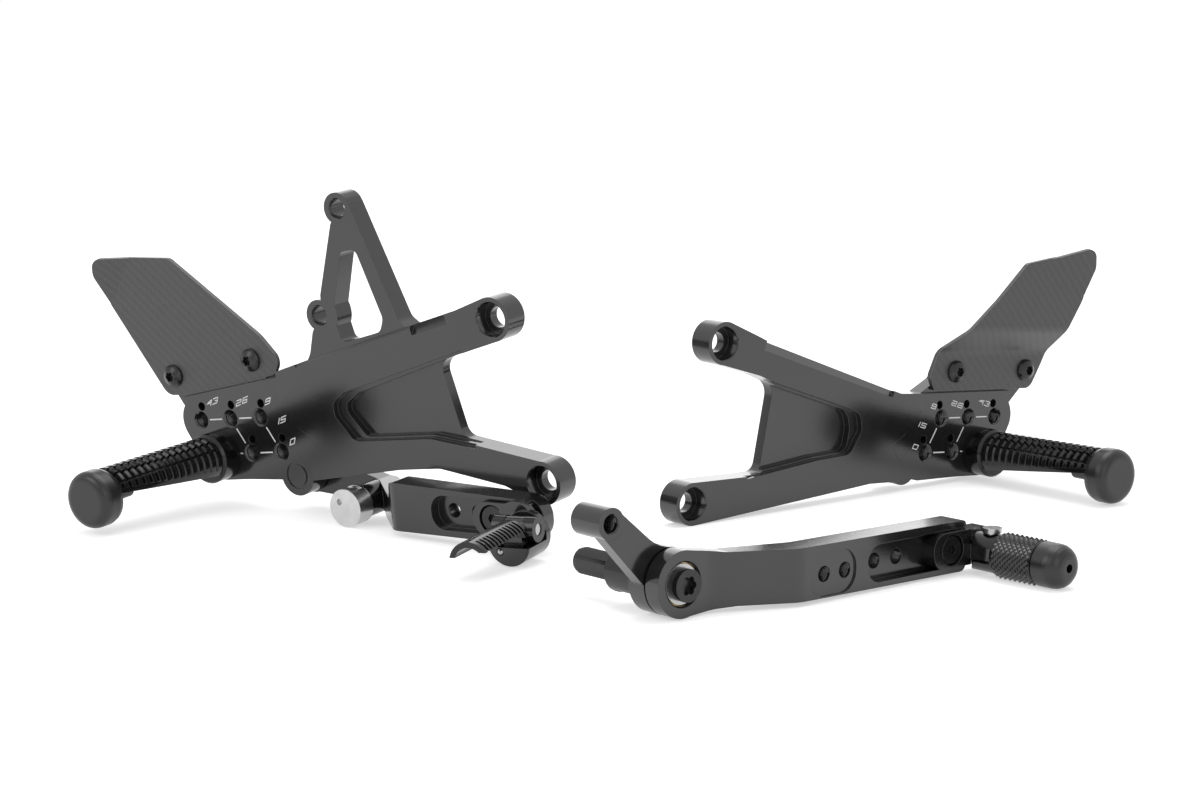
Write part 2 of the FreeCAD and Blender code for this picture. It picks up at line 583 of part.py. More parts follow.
def rod_arm():
    """Short arm with the threaded eye for the gearbox rod."""
    y0 = HUB
    arm = side_prism([(2.0, 12.9, 0), (-6.0, 14.0, 22), (EYE[0] + 5.0, EYE[1] + 3.6), (EYE[0], EYE[1]),
                      (EYE[0] - 5.4, EYE[1] - 2.8), (-13.0, 0.0, 0), (0, 0)], ARM_Y, ARM_Y + ARM)
    hub = rod_y((0, 0), ARM_Y, ARM_Y + ARM_HUB, HUB_R)
    spigot = rod_y((0, 0), y0, ARM_Y + 0.5, HUB_R - 1.4)
    eye = rod_y(EYE, ARM_Y - 0.6, ARM_Y - 0.6 + EYE_LENGTH, EYE_R)
    tools = [rod_y((0, 0), y0 - 1, ARM_Y + ARM_HUB + 1, SEAT_R),
             rod_y(EYE, ARM_Y - 2, ARM_Y + EYE_LENGTH + 2, EYE_BORE_R),
             cone_y(EYE, ARM_Y - 0.61, ARM_Y, EYE_BORE_R + 0.6, EYE_BORE_R)]
    tools += [rod_y(p, y0 - 1, y0 + 3.5, 2.0) for p in DOWELS]
    return cut(fused(arm, [hub, spigot, eye]), tools)


def arm_dowel(centre):
    return rod_y(centre, HUB - 2.8, HUB + 3.3, 2.0 - PIN_GAP)


def pivot_bush():
    """Plain bush pressed through lever hub and arm hub."""
    y0, y1 = 2.2, ARM_Y + ARM_HUB
    return cut(rod_y((0, 0), y0, y1, SEAT_R - PIN_GAP), [rod_y((0, 0), y0 - 1, y1 + 1, SHAFT_R + PIN_GAP)])


SPINDLE_FLANGE_R = 8.6
SPINDLE_FLANGE = 19.0
SPINDLE_STUD = 22.5
SPINDLE_START = ARM_Y + ARM_HUB + SEAT_GAP


def pivot_spindle():
    """Shaft with a flatted flange and the stud that screws into the side plate."""
    shaft = rod_y((0, 0), 2.0, SPINDLE_START + 0.5, SHAFT_R)
    flange = rod_y((0, 0), SPINDLE_START, SPINDLE_START + SPINDLE_FLANGE, SPINDLE_FLANGE_R)
    stud_y = SPINDLE_START + SPINDLE_FLANGE
    stud = rod_y((0, 0), stud_y - 0.5, stud_y + SPINDLE_STUD, PIVOT_THREAD_R - PIN_GAP)
    flats = [box(-12, 12, SPINDLE_START + 2.5, stud_y - 1.5, s - 2, s + 2) for s in (-9.0, 9.0)]
    spindle = cut(fused(shaft, [flange, stud]), flats)
    return cut(spindle, [rod_y((0, 0), 1, 22, 4.0 - PIN_GAP)])


def pivot_bolt():
    """Cap screw with a six lobed socket that closes the pivot."""
    head = rod_y((0, 0), -3.0, 1.0, 6.4)
    shank = rod_y((0, 0), 0.5, 20.0, 4.0 - 2 * PIN_GAP)
    return cut(fused(head, [shank]), [torx_cutter((0, 0), -4.0, -0.4, 3.9)])


def pivot_washer():
    return cut(rod_y((0, 0), 1.0, 2.0, 7.9), [rod_y((0, 0), 0, 3, 4.2)])


TONGUE = 3.0              # half height of the tongue in the folding toe peg
PIN_R = 2.5
ROOT_R = 8.0
TOE_R = 9.1
TOE_LENGTH = 39.6
TOE_CAP = 12.6


def shift_block():
    """Toe block with the tongue that carries the folding toe peg."""
    y_face = -LEVER_STEP
    x = SHIFT_REACH
    block = toe_block(SHIFT_BOLT, SHIFT_BOLT - 11.0, x + 5.5, SHIFT_MID, y_face)
    tongue = fused(box(x - 5.0, x + 5.0, SHIFT_PIN_Y, y_face, SHIFT_PEG_Z - TONGUE, SHIFT_PEG_Z + TONGUE),
                   [rod_z(x, SHIFT_PIN_Y, SHIFT_PEG_Z - TONGUE, SHIFT_PEG_Z + TONGUE, 5.0)])
    swing = rod_z(x, SHIFT_PIN_Y, -20, 20, ROOT_R + 0.3)
    block = block.cut(swing)
    return cut(fused(block, [tongue]), [rod_z(x, SHIFT_PIN_Y, -20, 20, PIN_R + PIN_GAP)])


def shift_toe_peg():
    """Knurled toe peg with a forked root."""
    x, y, z = SHIFT_REACH, SHIFT_PIN_Y, SHIFT_PEG_Z
    root = turned([(-ROOT_R, ROOT_R), (6.0, ROOT_R)], (x, z), y)
    rounding = fused(rod_z(x, y, z - 12, z + 12, ROOT_R), [box(x - 12, x + 12, y - 30, y, z - 12, z + 12)])
    root = root.common(rounding)
    grip = turned([(5.5, ROOT_R), (6.0, TOE_R - 0.3), (TOE_LENGTH - TOE_CAP - 0.4, TOE_R - 0.3),
                   (TOE_LENGTH - TOE_CAP, ROOT_R)], (x, z), y)
    slot = fused(box(x - 12, x + 12, y - 5.6, y + 12, z - TONGUE - 0.2, z + TONGUE + 0.2),
                 [rod_z(x, y - 1.0, z - TONGUE - 0.2, z + TONGUE + 0.2, 5.6)])
    bore = rod_y((x, z), y - TOE_LENGTH, y - TOE_LENGTH + TOE_CAP + 10.0, 2.5)
    knurl = knurl_grooves(x, z, y)
    return cut(fused(root, [grip]), [slot, bore, rod_z(x, y, z - 12, z + 12, PIN_R + PIN_GAP)] + knurl)


def knurl_grooves(x, z, y):
    """Ring grooves that break up the grip."""
    rings = []
    start, stop, pitch = 7.2, TOE_LENGTH - TOE_CAP - 1.6, 2.4
    count = int((stop - start) / pitch)
    for i in range(count + 1):
        s = start + i * pitch
        outer = turned([(s, TOE_R + 1), (s + 0.7, TOE_R + 1)], (x, z), y)
        inner = turned([(s - 1, TOE_R - 0.9), (s + 2, TOE_R - 0.9)], (x, z), y)
        rings.append(outer.cut(inner))
    flutes = []
    for i in range(20):
        flute = box(-0.4, 0.4, y - stop - 0.7, y - start, TOE_R - 0.9, TOE_R + 1)
        flute.rotate(V(0, 0, 0), V(0, 1, 0), 18.0 * i)
        flute.translate(V(x, 0, z))
        flutes.append(flute)
    return rings + flutes


def shift_toe_cap():
    """Domed end button screwed into the toe peg."""
    x, y, z = SHIFT_REACH, SHIFT_PIN_Y, SHIFT_PEG_Z
    start = TOE_LENGTH - TOE_CAP
    profile = [(start, TOE_R - 0.8), (start + 0.6, TOE_R)]
    steps = 6
    for i in range(steps + 1):
        t = math.radians(90.0 * i / steps)
        profile.append((start + 6.4 + 6.6 * math.sin(t), TOE_R - 5.4 + 5.4 * math.cos(t)))
    cap = turned(profile, (x, z), y)
    stem = rod_y((x, z), y - start - 0.5, y - start + 9.0, 2.5 - PIN_GAP)
    return cut(fused(cap, [stem]), [rod_y((x, z), y - start - 14.0, y - start - 8.0, 1.8)])


def shift_toe_pin():
    x, y, z = SHIFT_REACH, SHIFT_PIN_Y, SHIFT_PEG_Z
    half = ROOT_R - 0.4
    under_head = z + ROOT_R + SEAT_GAP
    head = rod_z(x, y, under_head, under_head + 2.0, PIN_R + 1.4)
    return fused(rod_z(x, y, z - half, under_head + 0.5, PIN_R), [head])


def shift_assembly():
    """Pieces of the loose shift lever by name."""
    return {
        "shift_lever": shift_lever(), "shift_rod_arm": rod_arm(),
        "shift_arm_dowels": group(arm_dowel(p) for p in DOWELS),
        "shift_pivot_bush": pivot_bush(), "shift_pivot_spindle": pivot_spindle(),
        "shift_pivot_bolt": pivot_bolt(), "shift_pivot_washer": pivot_washer(),
        "shift_toe_block": shift_block(), "shift_toe_peg": shift_toe_peg(),
        "shift_toe_cap": shift_toe_cap(), "shift_toe_pin": shift_toe_pin(),
        "shift_toe_bolt": block_bolt(SHIFT_BOLT, SHIFT_MID, -LEVER_STEP),
    }


# Brake lever, origin at its pivot, x along the toe end, y as in the plate frame

BRAKE_TILT = -5.4
BRAKE_BACK = PLATE + 0.8
BRAKE_HUB = 8.0
BRAKE_HUB_R = 10.2
BRAKE_FACE = -15.0
BRAKE_MID = -5.6
BRAKE_END = 142.8
BRAKE_BOLT = BRAKE_END - 21.4
BRAKE_SEAT_R = 7.5
BRAKE_SHAFT_R = 5.0
STOP = (52.0, 6.5)        # upstop screw in the lever neck, under the plate's lower edge
STOP_R = 2.0
STOP_TOP = -0.4
STOP_DEPTH = 9.0          # the screw's length in the lever
TRUNNION = (37.1, -8.9)
TRUNNION_R = 8.5
TRUNNION_LUG_R = 7.3
TRUNNION_BORE_R = 3.4
TRUNNION_SHANK_R = 4.5
TRUNNION_FACE = -11.5
TRUNNION_LENGTH = 9.0


def brake_lever():
    y_back = BRAKE_BACK + BRAKE_HUB
    plan = plan_prism([(-15, BRAKE_BACK), (38, BRAKE_BACK, 8), (66, BRAKE_FACE, 8), (BRAKE_END, BRAKE_FACE),
                       (BRAKE_END, BRAKE_FACE + LEVER), (62.5, BRAKE_FACE + LEVER, 8), (43, y_back, 8),
                       (-15, y_back)], -40, 40)
    low, high = BRAKE_MID - LEVER_HALF, BRAKE_MID + LEVER_HALF
    side = side_prism([(0, 9.8), (24, 2.0, 10), (38, -1.6, 8), (61.5, -3.0, 4), (64.0, high + 1.0, 5),
                       (BRAKE_END, high - 2.0, 9), (BRAKE_END, low - 0.4, 9), (66.0, low + 0.4, 6),
                       (50.0, low + 0.8, 8), (TRUNNION[0] - 8.0, TRUNNION[1] - 3.0, 6), (2.0, -9.8),
                       (0, 0)], -40, 40)
    hub = rod_y((0, 0), -40, 40, BRAKE_HUB_R)
    lever = plan.common(side.fuse(hub).removeSplitter())
    lug = rod_y(TRUNNION, TRUNNION_FACE + TRUNNION_LENGTH + SEAT_GAP, y_back, TRUNNION_LUG_R)
    lever = fused(lever, [lug])
    tools = [rod_y((0, 0), BRAKE_BACK - 1, y_back + 1, BRAKE_SEAT_R),
             rod_y(TRUNNION, -10, y_back + 1, TRUNNION_SHANK_R + PIN_GAP),
             toe_slot(BRAKE_BOLT - 2 * HOLE_PITCH - SLOT_LEAD, BRAKE_END + 5, BRAKE_MID, BRAKE_FACE),
             rod_y((BRAKE_BOLT, BRAKE_MID), BRAKE_FACE, BRAKE_FACE + LEVER + 1, BLOCK_BOLT_R + PIN_GAP)]
    tools.append(rod_z(STOP[0], STOP[1], -30, 5, STOP_R + PIN_GAP))
    tools += [thread_bore(x, BRAKE_MID, BRAKE_FACE) for x in
              (BRAKE_BOLT - 2 * HOLE_PITCH, BRAKE_BOLT - HOLE_PITCH)]
    return cut(lever, tools)


def brake_bush():
    y0, y1 = BRAKE_BACK - 0.3, BRAKE_BACK + BRAKE_HUB + 0.3
    return cut(rod_y((0, 0), y0, y1, BRAKE_SEAT_R - PIN_GAP),
               [rod_y((0, 0), y0 - 1, y1 + 1, BRAKE_SHAFT_R + PIN_GAP)])


def brake_pivot_bolt():
    """Shoulder bolt from inboard through the lever hub into the plate."""
    y_head = BRAKE_BACK + BRAKE_HUB + 0.6
    head = rod_y((0, 0), y_head, y_head + 5.0, 8.6)
    shank = rod_y((0, 0), PLATE - 8.0, y_head + 0.5, BRAKE_SHAFT_R)
    return cut(fused(head, [shank]), [hex_cutter((0, 0), y_head + 2.0, y_head + 6, 3.0)])


def brake_spacer():
    """Thin washer between plate and lever hub."""
    return cut(rod_y((0, 0), PLATE, BRAKE_BACK - 0.3, 7.4), [rod_y((0, 0), PLATE - 1, BRAKE_BACK + 1, 5.2)])


def trunnion():
    """Silver swivel that takes the master cylinder push rod."""
    y0, y1 = TRUNNION_FACE, TRUNNION_FACE + TRUNNION_LENGTH
    barrel = rod_y(TRUNNION, y0, y1, TRUNNION_R)
    shank = rod_y(TRUNNION, y1 - 0.5, BRAKE_BACK + BRAKE_HUB + 2.6, TRUNNION_SHANK_R)
    x, z = TRUNNION
    mid = (y0 + y1) / 2
    groove_y = BRAKE_BACK + BRAKE_HUB + 0.4
    groove = cut(rod_y(TRUNNION, groove_y, groove_y + 1.1, 6), [rod_y(TRUNNION, groove_y - 1, groove_y + 3, 3.6)])
    swivel = cut(fused(barrel, [shank]), [rod_z(x, mid, z - 12, z + 12, TRUNNION_BORE_R), groove,
                                          rod_y((x - 3.0, z + 2.6), y0 - 1, y0 + 1.6, 1.4),
                                          box(x - 6, x + 6, y0 + 1.2, y1 - 1.2, z + TRUNNION_R - 1.0, z + 12)])
    return swivel


def trunnion_clip():
    groove_y = BRAKE_BACK + BRAKE_HUB + 0.45
    ring = cut(rod_y(TRUNNION, groove_y, groove_y + 1.0, 6.2), [rod_y(TRUNNION, groove_y - 1, groove_y + 3, 3.65)])
    return ring.cut(box(TRUNNION[0] - 1.6, TRUNNION[0] + 1.6, groove_y - 1, groove_y + 3,
                        TRUNNION[1] - 9, TRUNNION[1] - 2))


# Brake toe barrel and folding blade

TOE_HUB = (BRAKE_END - 2.8, -9.6)
TOE_HUB_R = 9.8
TOE_DISC = (BRAKE_END - 8.3, -6.5)
TOE_DISC_R = 9.8
TOE_TURN = 6.5            # barrel and blade point this much forward of straight outboard
TOE_PIN_Y = BRAKE_FACE - 11.5
TOE_PIN_Z = TOE_HUB[1] + 4.2
TOE_FACE = BRAKE_FACE - 20.5
KNUCKLE_R = 5.3
TONGUE_X = 4.2
TOE_PIN_HALF = 9.4
BLADE_TIP = BRAKE_FACE - 51.5
BLADE_OUTER = 9.4
BLADE_SHELL = 2.4
BLADE_RIBS = 12
BALL_R = 1.5
BALL_AT = (TOE_HUB[0] - 4.0, TOE_HUB[1] - 3.6)


def toe_turned(shape):
    shape.rotate(V(TOE_HUB[0], BRAKE_FACE, 0), V(0, 0, 1), TOE_TURN)
    return shape


def brake_block():
    """Toe block with its rear disc and the barrel that carries the blade."""
    x, z = TOE_HUB
    disc = rod_y(TOE_DISC, BRAKE_FACE - 3.6, BRAKE_FACE, TOE_DISC_R)
    barrel = rod_y(TOE_HUB, TOE_FACE, BRAKE_FACE - 2.0, TOE_HUB_R)
    rim = cut(rod_y(TOE_HUB, TOE_FACE - 1, TOE_FACE + 0.6, TOE_HUB_R + 1),
              [rod_y(TOE_HUB, TOE_FACE - 2, TOE_FACE + 2, TOE_HUB_R - 0.9)])
    top = box(x - 20, x + 20, TOE_FACE - 1, TOE_PIN_Y + KNUCKLE_R + 0.8, TOE_PIN_Z - KNUCKLE_R - 0.6, z + 20)
    slot = [box(x - 20, x - TONGUE_X, TOE_PIN_Y - 6.5, TOE_PIN_Y + KNUCKLE_R + 0.8,
                TOE_PIN_Z - KNUCKLE_R - 0.6, z + 20)]
    tongue = fused(rod_x(TOE_PIN_Y, TOE_PIN_Z, x - TONGUE_X, x + TONGUE_X, KNUCKLE_R - 0.2),
                   [box(x - TONGUE_X, x + TONGUE_X, TOE_PIN_Y - KNUCKLE_R + 0.4, TOE_PIN_Y + KNUCKLE_R + 1.5,
                        z - 2.0, TOE_PIN_Z)])
    barrel = fused(cut(barrel, [rim, top] + slot), [tongue])
    barrel = cut(barrel, [rod_x(TOE_PIN_Y, TOE_PIN_Z, x - 30, x + 30, PIN_R + PIN_GAP),
                          rod_y(BALL_AT, TOE_FACE - 1, TOE_FACE + 9.0, BALL_R + 0.1)])
    block = toe_block(BRAKE_BOLT, BRAKE_BOLT - 9.5, TOE_DISC[0] + 4.0, BRAKE_MID, BRAKE_FACE)
    body = fused(disc, [block, toe_turned(barrel)])
    return cut(body, [rod_y((BRAKE_BOLT, BRAKE_MID), BRAKE_FACE - 30, BRAKE_FACE + 1.0,
                            BLOCK_BOLT_HEAD_R + 0.3)])


def detent_ball():
    return toe_turned(Part.makeSphere(BALL_R, V(BALL_AT[0], TOE_FACE + BALL_R * 0.5, BALL_AT[1])))


def detent_plug():
    """Threaded plug that backs the detent ball, with a cup for it."""
    y0 = TOE_FACE + BALL_R * 0.5
    plug = rod_y(BALL_AT, y0 + 0.7, TOE_FACE + 8.0, BALL_R)
    cup = Part.makeSphere(BALL_R + SEAT_GAP, V(BALL_AT[0], y0, BALL_AT[1]))
    return toe_turned(cut(plug, [cup]))


def toe_pin():
    x = TOE_HUB[0]
    return toe_turned(rod_x(TOE_PIN_Y, TOE_PIN_Z, x - TOE_PIN_HALF, x + TOE_PIN_HALF, PIN_R))


def toe_blade():
    """Arched folding toe piece with cross ribs either side of a smooth ridge."""
    x, z = TOE_HUB
    axis = (x, TOE_PIN_Z + KNUCKLE_R - BLADE_OUTER - 0.2)
    inner = BLADE_OUTER - BLADE_SHELL
    root = TOE_PIN_Y - KNUCKLE_R
    shell = rod_y(axis, BLADE_TIP, TOE_PIN_Y, BLADE_OUTER)
    shell = cut(shell, [rod_y(axis, BLADE_TIP - 1, TOE_PIN_Y + 1, inner),
                        box(x - 20, x + 20, BLADE_TIP - 2, TOE_PIN_Y + 8, axis[1] - 20, axis[1] + 2.4),
                        box(x, x + 20, BLADE_TIP - 2, TOE_PIN_Y + 8, axis[1] - 20, axis[1] + 5.2),
                        box(x - 20, x + 20, root - 1.2, TOE_PIN_Y + 8, axis[1] - 20, TOE_PIN_Z - 2.0)])
    filler = side_bridge(axis, inner + 0.6, root - 1.2, TOE_PIN_Y)
    ears = [rod_x(TOE_PIN_Y, TOE_PIN_Z, x + a, x + b, KNUCKLE_R)
            for a, b in ((-TOE_PIN_HALF - 0.4, -TONGUE_X - 0.3), (TONGUE_X + 0.3, TOE_PIN_HALF + 0.4))]
    blade = fused(shell, [filler] + ears)
    tools = [rod_x(TOE_PIN_Y, TOE_PIN_Z, x - 30, x + 30, PIN_R + PIN_GAP),
             box(x - TONGUE_X - 0.3, x + TONGUE_X + 0.3, root - 0.4, TOE_PIN_Y + 20, z - 20, z + 20)]
    first, last = root - 3.0, BLADE_TIP + 3.0
    for i in range(BLADE_RIBS):
        y = first + (last - first) * i / (BLADE_RIBS - 1)
        ring = cut(rod_y(axis, y - 0.7, y + 0.7, 20), [rod_y(axis, y - 2, y + 2, BLADE_OUTER - 0.9)])
        tools.append(cut(ring, [box(x - 2.2, x + 2.2, y - 3, y + 3, z - 30, z + 30)]))
    return toe_turned(cut(blade, tools))


def side_bridge(axis, radius, y0, y1):
    """Solid root that joins the shell to the knuckles."""
    x, z = axis
    half = rod_y(axis, y0, y1, radius)
    return cut(half, [box(x - 20, x + 20, y0 - 1, y1 + 1, z - 20, TOE_PIN_Z - 2.0)])


def stop_screw():
    """Upstop screw that meets the plate when the lever is raised."""
    x, y = STOP
    head = rod_z(x, y, STOP_TOP - 1.2, STOP_TOP, 3.2)
    return fused(rod_z(x, y, STOP_TOP - STOP_DEPTH, STOP_TOP - 0.5, STOP_R), [head])


def brake_assembly():
    return {
        "brake_lever": brake_lever(), "brake_pivot_bush": brake_bush(),
        "brake_pivot_bolt": brake_pivot_bolt(), "brake_pivot_spacer": brake_spacer(),
        "brake_trunnion": trunnion(), "brake_trunnion_clip": trunnion_clip(),
        "brake_toe_block": brake_block(), "brake_toe_blade": toe_blade(), "brake_toe_pin": toe_pin(),
        "brake_detent_ball": detent_ball(), "brake_detent_plug": detent_plug(),
        "brake_stop_screw": stop_screw(), "brake_toe_bolt": block_bolt(BRAKE_BOLT, BRAKE_MID, BRAKE_FACE),
    }


# Layout on the table: where each assembly stands and how it leans

BRAKE_SIDE = {"at": (-143.0, -318.2, 27.9), "turn": -34.3, "lean": 5.2, "roll": -7.5}
SHIFT_SIDE = {"at": (153.1, -258.3, 15.5), "turn": 38.43, "lean": 0.18, "roll": 4.31}
SHIFT_LEVER = {"at": (31.3, -522.3, HUB_R), "turn": 41.0, "lean": 0.0, "roll": 0.0}


def placement(pose):
    turn = FreeCAD.Rotation(V(0, 0, 1), pose["turn"])
    lean = FreeCAD.Rotation(V(1, 0, 0), pose["lean"])
    roll = FreeCAD.Rotation(V(0, 1, 0), pose["roll"])
    return FreeCAD.Placement(V(*pose["at"]), turn.multiply(lean).multiply(roll))


def placed(place, shape):
    moved = shape.copy()
    moved.Placement = place.multiply(moved.Placement)
    return moved


def lever_in_plate():
    """The brake lever hangs from its pivot with the toe end low."""
    return FreeCAD.Placement(V(PIVOT_HUB[0], 0, PIVOT_HUB[1]), FreeCAD.Rotation(V(0, 1, 0), -BRAKE_TILT))


def peg_pieces():
    """Footpeg and its fixings, alike on both sides but for the mirror."""
    return {"footpeg": footpeg(), "peg_cap": peg_cap(), "footpeg_bolts": peg_bolt(),
            "footpeg_washers": peg_washer(), "footpeg_index_pins": index_pin()}


def side_pieces(side, plate, guard, bolts, flip):
    """One side with its peg; shared fixings keep the same name on both sides."""
    pieces = {side + "_side_plate": plate, side + "_heel_guard": guard,
              "heel_guard_bolts": group(guard_bolt(b) for b in bolts)}
    for name, piece in peg_pieces().items():
        pieces[name if name.endswith("s") else side + "_" + name] = piece
    return {name: mirrored(piece) if flip else piece for name, piece in pieces.items()}


def assemblies():
    """Pieces and pose of the three assemblies, each in its own frame."""
    brake = side_pieces("brake", brake_plate(), brake_guard(), BRAKE_GUARD_BOLTS, False)
    brake.update({name: placed(lever_in_plate(), piece) for name, piece in brake_assembly().items()})
    shift = side_pieces("shift", shift_plate(), shift_guard(), SHIFT_GUARD_BOLTS, True)
    return [(BRAKE_SIDE, brake), (SHIFT_SIDE, shift), (SHIFT_LEVER, shift_assembly())]


def limits(shapes):
    boxes = [shape.optimalBoundingBox() for shape in shapes]
    return ([min(b.XMin for b in boxes), min(b.YMin for b in boxes), min(b.ZMin for b in boxes)],
            [max(b.XMax for b in boxes), max(b.YMax for b in boxes), max(b.ZMax for b in boxes)])


def layout(sets):
    """Placements that stand every assembly on z = 0 and centre the whole set on the origin."""
    places, lows, highs = [], [], []
    for pose, pieces in sets:
        place = placement(pose)
        low, high = limits([placed(place, piece) for piece in pieces.values()])
        place.Base = place.Base - V(0, 0, low[2])
        places.append(place)
        lows.append(low)
        highs.append(high)
    centre = [(min(low[i] for low in lows) + max(high[i] for high in highs)) / 2 for i in (0, 1)]
    for place in places:
        place.Base = place.Base - V(centre[0], centre[1], 0)
    return places


def build():
    """Every node in the table frame."""
    sets = assemblies()
    nodes = {}
    for place, (_, pieces) in zip(layout(sets), sets):
        for name, piece in pieces.items():
            nodes.setdefault(name, []).append(placed(place, piece))
    return {name: shapes[0] if len(shapes) == 1 else group(s for shape in shapes for s in shape.Solids)
            for name, shapes in nodes.items()}


def main():
    os.makedirs("parts", exist_ok=True)
    for name, shape in build().items():
        shape.exportStep(os.path.join("parts", name + ".step"))


main()
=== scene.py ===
# %% [markdown]
# # Rearset footrests of a sport motorbike, dressed for a studio picture
#
# Three groups lie on a white table: the brake side plate with its pedal, the shift side plate,
# and the loose shift lever in front of them. The rigid shapes already come from a CAD model, so
# Blender's share is what a CAD model leaves out: finishes, threads, knurling, printed marks,
# and the light that shows them. We start by loading that model as a fixed frame in metres.

# %% Load the frame
import json
import math

import bpy
from mathutils import Matrix, Vector


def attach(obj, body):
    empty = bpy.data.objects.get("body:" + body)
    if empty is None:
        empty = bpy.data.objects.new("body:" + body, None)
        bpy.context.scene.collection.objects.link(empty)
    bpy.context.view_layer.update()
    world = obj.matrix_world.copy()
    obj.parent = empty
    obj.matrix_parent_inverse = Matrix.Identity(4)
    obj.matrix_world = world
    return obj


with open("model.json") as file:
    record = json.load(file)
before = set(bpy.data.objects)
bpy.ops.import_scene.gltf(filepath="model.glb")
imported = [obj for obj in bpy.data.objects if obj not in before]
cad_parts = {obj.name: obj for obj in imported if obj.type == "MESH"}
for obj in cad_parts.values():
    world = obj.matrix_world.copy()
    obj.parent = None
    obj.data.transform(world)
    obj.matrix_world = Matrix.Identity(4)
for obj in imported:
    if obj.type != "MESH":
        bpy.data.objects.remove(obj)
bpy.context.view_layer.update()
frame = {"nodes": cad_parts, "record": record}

RECORD = frame["record"]

# %% [markdown]
# ## Camera
#
# The picture was taken from a little above the table with a long lens, which keeps the two
# plates nearly free of perspective. A long focal length from further away gives that calm
# look, while a short one close up would swell the nearest footpeg.

# %% Camera
CAMERA_AT = Vector((-0.0047, -1.1777, 0.2459))
CAMERA_DOWN = math.radians(9.0)
CAMERA_LENS = 84.0

camera = bpy.data.objects.new("camera", bpy.data.cameras.new("camera"))
bpy.context.collection.objects.link(camera)
camera.location = CAMERA_AT
camera.rotation_euler = (math.pi / 2 - CAMERA_DOWN, 0.0, 0.0)
camera.data.lens = CAMERA_LENS
camera.data.sensor_width = 36.0
bpy.context.scene.camera = camera
bpy.context.scene.view_settings.view_transform = "Standard"
print("camera looks down by", round(math.degrees(CAMERA_DOWN), 1), "degrees")

# %% [markdown]
# ## Frames of the parts
#
# Details are easiest to place in a part's own millimetres: along the plate, through it, and
# up. A matrix per part turns those numbers into the picture's metres. Its angles are how the
# part leans on the table, and its origin comes from a mounting point whose place is known in
# both frames, so no number has to be repeated by hand.

# %% Frames of the parts
MM = 0.001
MOUNTS = {mount["name"]: Vector(mount["pos_m"]) for mount in RECORD["mounts"]}


def part_frame(mount, point, turn, lean, roll):
    """Matrix from a part's own millimetres to metres on the table."""
    spin = (Matrix.Rotation(math.radians(turn), 4, "Z") @ Matrix.Rotation(math.radians(lean), 4, "X")
            @ Matrix.Rotation(math.radians(roll), 4, "Y"))
    origin = MOUNTS[mount] - spin @ (Vector(point) * MM)
    return Matrix.Translation(origin) @ spin @ Matrix.Scale(MM, 4)


BRAKE_SIDE = part_frame("brake_frame_upper", (130.0, 8.75, 53.0), -34.3, 5.2, -7.5)
SHIFT_SIDE = part_frame("shift_frame_upper", (-130.0, 8.75, 53.0), 38.43, 0.18, 4.31)
SHIFT_LEVER = part_frame("spindle_stud", (0.0, 46.95, 0.0), 41.0, 0.0, 0.0)
BRAKE_LEVER = (BRAKE_SIDE @ Matrix.Translation((6.8, 0.0, -11.1))
               @ Matrix.Rotation(math.radians(5.4), 4, "Y"))
TABLE = Matrix.Scale(MM, 4)
print("brake plate origin:", [round(v, 4) for v in BRAKE_SIDE.translation])
print("shift plate origin:", [round(v, 4) for v in SHIFT_SIDE.translation])

# %% [markdown]
# ## Shader sums in Python
#
# A finish is a small calculation over the surface. Wiring every addition by hand hides the
# idea, so one class wraps a node's output and lets Python's own + - * % build the Math nodes.
# Everything that isn't a sum of numbers comes from a single method that makes any node.

# %% Shader sums in Python
class Value:
    """The output of a node, ready for sums."""

    def __init__(self, finish, socket):
        self.finish, self.socket = finish, socket

    def maths(self, operation, *others):
        return self.finish.node("Math", {"operation": operation}, dict(enumerate((self,) + others)))

    def __add__(self, other):
        return self.maths("ADD", other)

    def __mul__(self, other):
        return self.maths("MULTIPLY", other)

    def __sub__(self, other):
        return self.maths("SUBTRACT", other)

    def __mod__(self, other):
        return self.maths("FLOORED_MODULO", other)

    def __lt__(self, other):
        return self.maths("LESS_THAN", other)

    def __rsub__(self, other):
        return self * -1.0 + other

    __radd__ = __add__


